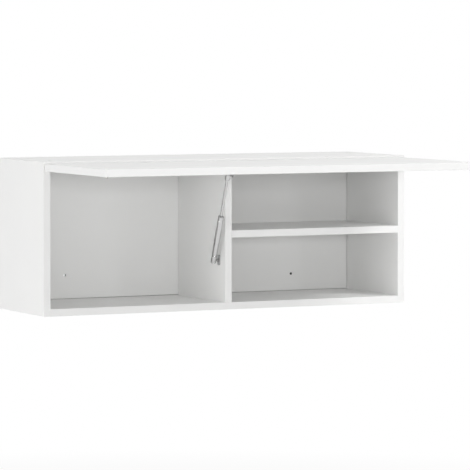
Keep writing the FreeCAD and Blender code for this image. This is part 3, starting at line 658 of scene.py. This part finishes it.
def make_floor(scene, colours, studio):
    """A wide pale floor below the cabinet: white with its shadow from above, and clear from below."""
    height = underside - studio.floor_drop
    mesh = bpy.data.meshes.new("studio_floor")
    corners = [(floor_half * x, floor_half * y, height) for x, y in ((-1, -1), (1, -1), (1, 1), (-1, 1))]
    mesh.from_pydata(corners, [], [(0, 1, 2, 3)])
    floor = bpy.data.objects.new("studio_floor", mesh)
    scene.collection.objects.link(floor)
    material, tree, shader, place = start_material("studio_floor")
    shader.inputs["Base Color"].default_value = rgba(colours.floor)
    shader.inputs["Roughness"].default_value = floor_roughness
    glow = node(tree, "ShaderNodeEmission", {"Strength": 1})
    far = node(tree, "ShaderNodeVectorMath", {0: place, 1: (0, 0, height)}, operation="DISTANCE")
    share = node(tree, "ShaderNodeMapRange", {"Value": far.outputs["Value"], "From Min": floor_fade[0],
                                              "From Max": floor_fade[1], "To Min": floor_glow_share,
                                              "To Max": 1})
    lifted = node(tree, "ShaderNodeMixShader", {0: share.outputs["Result"], 1: shader.outputs["BSDF"],
                                                2: glow.outputs["Emission"]})
    mix = node(tree, "ShaderNodeMixShader", {0: shown_straight(tree), 1: shader.outputs["BSDF"],
                                             2: lifted.outputs["Shader"]})
    clear = node(tree, "ShaderNodeBsdfTransparent")
    under = node(tree, "ShaderNodeNewGeometry").outputs["Backfacing"]
    sheet = node(tree, "ShaderNodeMixShader", {0: under, 1: mix.outputs["Shader"], 2: clear.outputs["BSDF"]})
    tree.links.new(sheet.outputs["Shader"], tree.nodes["Material Output"].inputs["Surface"])
    mesh.materials.append(material)


def make_soft_box(scene, name, watts, place, width):
    """A square soft box that looks at the middle of the cabinet."""
    lamp = bpy.data.lights.new(name, "AREA")
    lamp.energy = watts
    lamp.size = width
    box = bpy.data.objects.new(name, lamp)
    middle = (cad_box[0] + cad_box[1]) / 2
    turn = (middle - place).to_track_quat("-Z", "Y").to_matrix().to_4x4()
    box.matrix_world = Matrix.Translation(place) @ turn
    scene.collection.objects.link(box)


def make_camera(scene, studio):
    """The photograph's camera."""
    camera = bpy.data.objects.new("camera", bpy.data.cameras.new("camera"))
    camera.data.lens = studio.lens
    camera.location = studio.camera_place
    camera.rotation_euler = (math.pi / 2 - studio.camera_tilt, 0, -studio.camera_turn)
    scene.collection.objects.link(camera)
    scene.camera = camera


class CABINET_OT_boards(bpy.types.Operator):
    """Gives the boards their melamine skin, edging and lacquered back"""

    bl_idname = "cabinet.boards"
    bl_label = "Dress the boards"

    def execute(self, context):
        colours, sizes = context.scene.cabinet_colours, context.scene.cabinet_sizes
        boards = ("left_side", "right_side", "top_panel", "bottom_panel", "divider", "shelf", "flap")
        dress(boards, white_melamine(colours, sizes))
        dress(("carcass_edge_bands", "flap_edge_bands"), white_edging(colours, sizes))
        dress(("back_panel",), lacquered_fibreboard(colours, sizes))
        return {"FINISHED"}


class CABINET_OT_joints(bpy.types.Operator):
    """Dresses the dowels, cam locks, bolts and cover caps"""

    bl_idname = "cabinet.joints"
    bl_label = "Dress the joint fittings"

    def execute(self, context):
        colours, sizes = context.scene.cabinet_colours, context.scene.cabinet_sizes
        dress(("dowels",), beech(colours, sizes))
        dress(("cam_locks",), cast_metal("cam_zinc", colours.zinc, sizes, cam_roughness))
        dress(("cam_bolts",), plated_steel("bolt_plating", colours.plating, colours.plating_cloudy, sizes))
        dress(("cam_caps",), moulded("white_polypropylene", colours.cap, sizes, cap_roughness))
        return {"FINISHED"}


class CABINET_OT_hinges(bpy.types.Operator):
    """Dresses the cup hinges and the flap's soft stops"""

    bl_idname = "cabinet.hinges"
    bl_label = "Dress the hinges"

    def execute(self, context):
        colours, sizes = context.scene.cabinet_colours, context.scene.cabinet_sizes
        nickel = drawn_metal("nickel_plated_steel", colours.nickel, sizes, nickel_roughness, hinge_stretch)
        zinc = cast_metal("hinge_zinc", colours.zinc, sizes, hinge_plate_roughness)
        for side in ("left", "right"):
            dress(("hinge_cup_" + side, "hinge_arm_" + side, "hinge_pin_" + side), nickel)
            dress(("hinge_plate_" + side,), zinc)
        dress(("bumpers",), soft_polyurethane(colours, sizes))
        return {"FINISHED"}


class CABINET_OT_strut(bpy.types.Operator):
    """Makes the gas strut's rolled tube, and dresses the strut with its brackets"""

    bl_idname = "cabinet.strut"
    bl_label = "Make and dress the gas strut"

    def execute(self, context):
        colours, sizes = context.scene.cabinet_colours, context.scene.cabinet_sizes
        steel = drawn_metal("bright_steel_tube", colours.tube, sizes, strut_roughness, strut_stretch)
        chrome = drawn_metal("hard_chrome", colours.chrome, sizes, strut_roughness, strut_stretch)
        zinc = cast_metal("strut_zinc", colours.fitting, sizes, fitting_roughness)
        # Painted shade: the black edge tint draws a dark line along the round edges of the strut's tube, rod
        # and fittings
        for bright in (steel, chrome, zinc):
            bright.node_tree.nodes["Principled BSDF"].inputs["Specular Tint"].default_value = rgba(painted_edge_shade)
        tube = rolled_tube(sizes)
        tube.data.materials.append(steel)
        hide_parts("strut_tube")
        dress(("strut_rod",), chrome)
        dress(("strut_foot_socket", "strut_head_socket"), zinc)
        dress(("strut_guide",), moulded("grey_polyamide", colours.guide, sizes, polyamide_roughness))
        dress(("strut_piston",), moulded("black_polyamide", colours.black, sizes, polyamide_roughness))
        # Painted shade: the brackets and studs get the darker copy of the zinc plating
        plating = plated_steel("bracket_plating", colours.bracket, colours.shaded_bracket_cloudy, sizes)
        dress(("strut_foot_bracket", "strut_head_bracket", "strut_foot_stud", "strut_head_stud"), plating)
        return {"FINISHED"}


class CABINET_OT_clips(bpy.types.Operator):
    """Puts a spring clip round each ball socket of the strut"""

    bl_idname = "cabinet.clips"
    bl_label = "Make the spring clips"

    def execute(self, context):
        colours, sizes = context.scene.cabinet_colours, context.scene.cabinet_sizes
        foot, head = strut_ends()
        along = (head - foot).normalized()
        barrel = head.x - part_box("strut_foot_socket")[0].x
        inputs = {
            "Ring radius": barrel + sizes.clip_wire - sizes.clip_bite,
            "Wire radius": sizes.clip_wire,
            "Gap": clip_gap,
            # Painted shade: the clips get the darker copy of the zinc plating
            "Finish": plated_steel("clip_plating", colours.bracket, colours.shaded_bracket_cloudy, sizes),
        }
        tree = clip_tree()
        grown_piece("head_socket_clip", tree, [(head, along)], inputs, "strut_rod")
        grown_piece("foot_socket_clip", tree, [(foot, along)], inputs, "strut_tube")
        return {"FINISHED"}


class CABINET_OT_hangers(bpy.types.Operator):
    """Dresses the hanging angles, and the black plug that paints the shade in a fixing hole of the back
    panel
    """

    bl_idname = "cabinet.hangers"
    bl_label = "Dress the hanging angles"

    def execute(self, context):
        colours, sizes = context.scene.cabinet_colours, context.scene.cabinet_sizes
        plating = plated_steel("hanger_plating", colours.plating, colours.plating_cloudy, sizes)
        dress(("hanger_left", "hanger_right"), plating)
        # Painted shade: a black plug fills the fixing hole in the back panel and stands for the shade of an
        # open hole
        dress(("hole_plug",), moulded("black_polythene", colours.black, sizes, plug_roughness))
        return {"FINISHED"}


class CABINET_OT_screws(bpy.types.Operator):
    """Puts cross-headed screws in the place of the plain ones"""

    bl_idname = "cabinet.screws"
    bl_label = "Make the screws"

    def execute(self, context):
        colours, sizes = context.scene.cabinet_colours, context.scene.cabinet_sizes
        finish = plated_steel("screw_plating", colours.plating, colours.plating_cloudy, sizes)
        tree = screw_tree()
        down, left = Vector((0, 0, -1)), Vector((-1, 0, 0))
        # Each set's body and facing, whether it is mirrored, and whether its heads are pan heads
        sets = {
            "hinge_plate_screws": ("carcass", down, False, False),
            "hinge_arm_screws": ("carcass", down, False, True),
            "hinge_cup_screws": ("flap", down, False, False),
            "hanger_screws": ("carcass", left, True, False),
            "strut_foot_screws": ("carcass", left, False, False),
            "strut_head_screws": ("flap", down, False, False),
        }
        for name, (body, facing, mirrored, pan) in sets.items():
            spots, reach, radius = head_spots(name, facing, mirrored)
            head_height = sizes.pan_height if pan else sizes.countersink
            # The recess's bars stand half above the head, so they are twice as high as the recess is deep
            inputs = {
                "Head radius": radius * pan_crown_share if pan else radius,
                "Seat radius": radius if pan else sizes.wood_shank,
                "Head height": head_height,
                "Shank radius": sizes.pan_shank if pan else sizes.wood_shank,
                "Tip": reach - head_height,
                "Length": reach,
                "Recess reach": radius * recess_share * 2,
                "Recess width": sizes.recess_width,
                "Recess depth": sizes.recess_depth * 2,
                "Finish": finish,
            }
            piece = grown_piece("cross_headed_" + name, tree, spots, inputs, body)
            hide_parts(name)
        return {"FINISHED"}


class CABINET_OT_studio(bpy.types.Operator):
    """Sets up the floor, the light and the camera"""

    bl_idname = "cabinet.studio"
    bl_label = "Set up the studio"

    def execute(self, context):
        scene = context.scene
        colours, studio = scene.cabinet_colours, scene.cabinet_studio
        scene.view_settings.view_transform = "Standard"
        make_world(scene, studio)
        make_floor(scene, colours, studio)
        for name, (place, width) in soft_boxes.items():
            make_soft_box(scene, name, getattr(studio, name), Vector(place), width)
        make_camera(scene, studio)
        return {"FINISHED"}


operators = (CABINET_OT_boards, CABINET_OT_joints, CABINET_OT_hinges, CABINET_OT_strut, CABINET_OT_clips,
             CABINET_OT_hangers, CABINET_OT_screws, CABINET_OT_studio)


class CABINET_PT_sidebar(bpy.types.Panel):
    """Lists the cabinet's steps, colours and sizes"""

    bl_idname = "CABINET_PT_sidebar"
    bl_label = "Cabinet"
    bl_space_type = "VIEW_3D"
    bl_region_type = "UI"
    bl_category = "Cabinet"

    def draw(self, context):
        scene = context.scene
        for operator in operators:
            self.layout.operator(operator.bl_idname)
        for group in (scene.cabinet_colours, scene.cabinet_sizes, scene.cabinet_studio):
            for name in group.__annotations__:
                self.layout.prop(group, name)


classes = (CabinetColours, CabinetSizes, CabinetStudio, *operators, CABINET_PT_sidebar)


def register():
    """Adds the classes and hangs the cabinet's settings on the scene."""
    for each in classes:
        bpy.utils.register_class(each)
    bpy.types.Scene.cabinet_colours = bpy.props.PointerProperty(type=CabinetColours)
    bpy.types.Scene.cabinet_sizes = bpy.props.PointerProperty(type=CabinetSizes)
    bpy.types.Scene.cabinet_studio = bpy.props.PointerProperty(type=CabinetStudio)


def unregister():
    """Takes them away again."""
    del bpy.types.Scene.cabinet_studio
    del bpy.types.Scene.cabinet_sizes
    del bpy.types.Scene.cabinet_colours
    for each in reversed(classes):
        bpy.utils.unregister_class(each)


def main():
    """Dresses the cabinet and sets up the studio."""
    register()
    bpy.ops.cabinet.boards()
    bpy.ops.cabinet.joints()
    bpy.ops.cabinet.hinges()
    bpy.ops.cabinet.strut()
    bpy.ops.cabinet.clips()
    bpy.ops.cabinet.hangers()
    bpy.ops.cabinet.screws()
    bpy.ops.cabinet.studio()


if __name__ == "__main__":
    main()
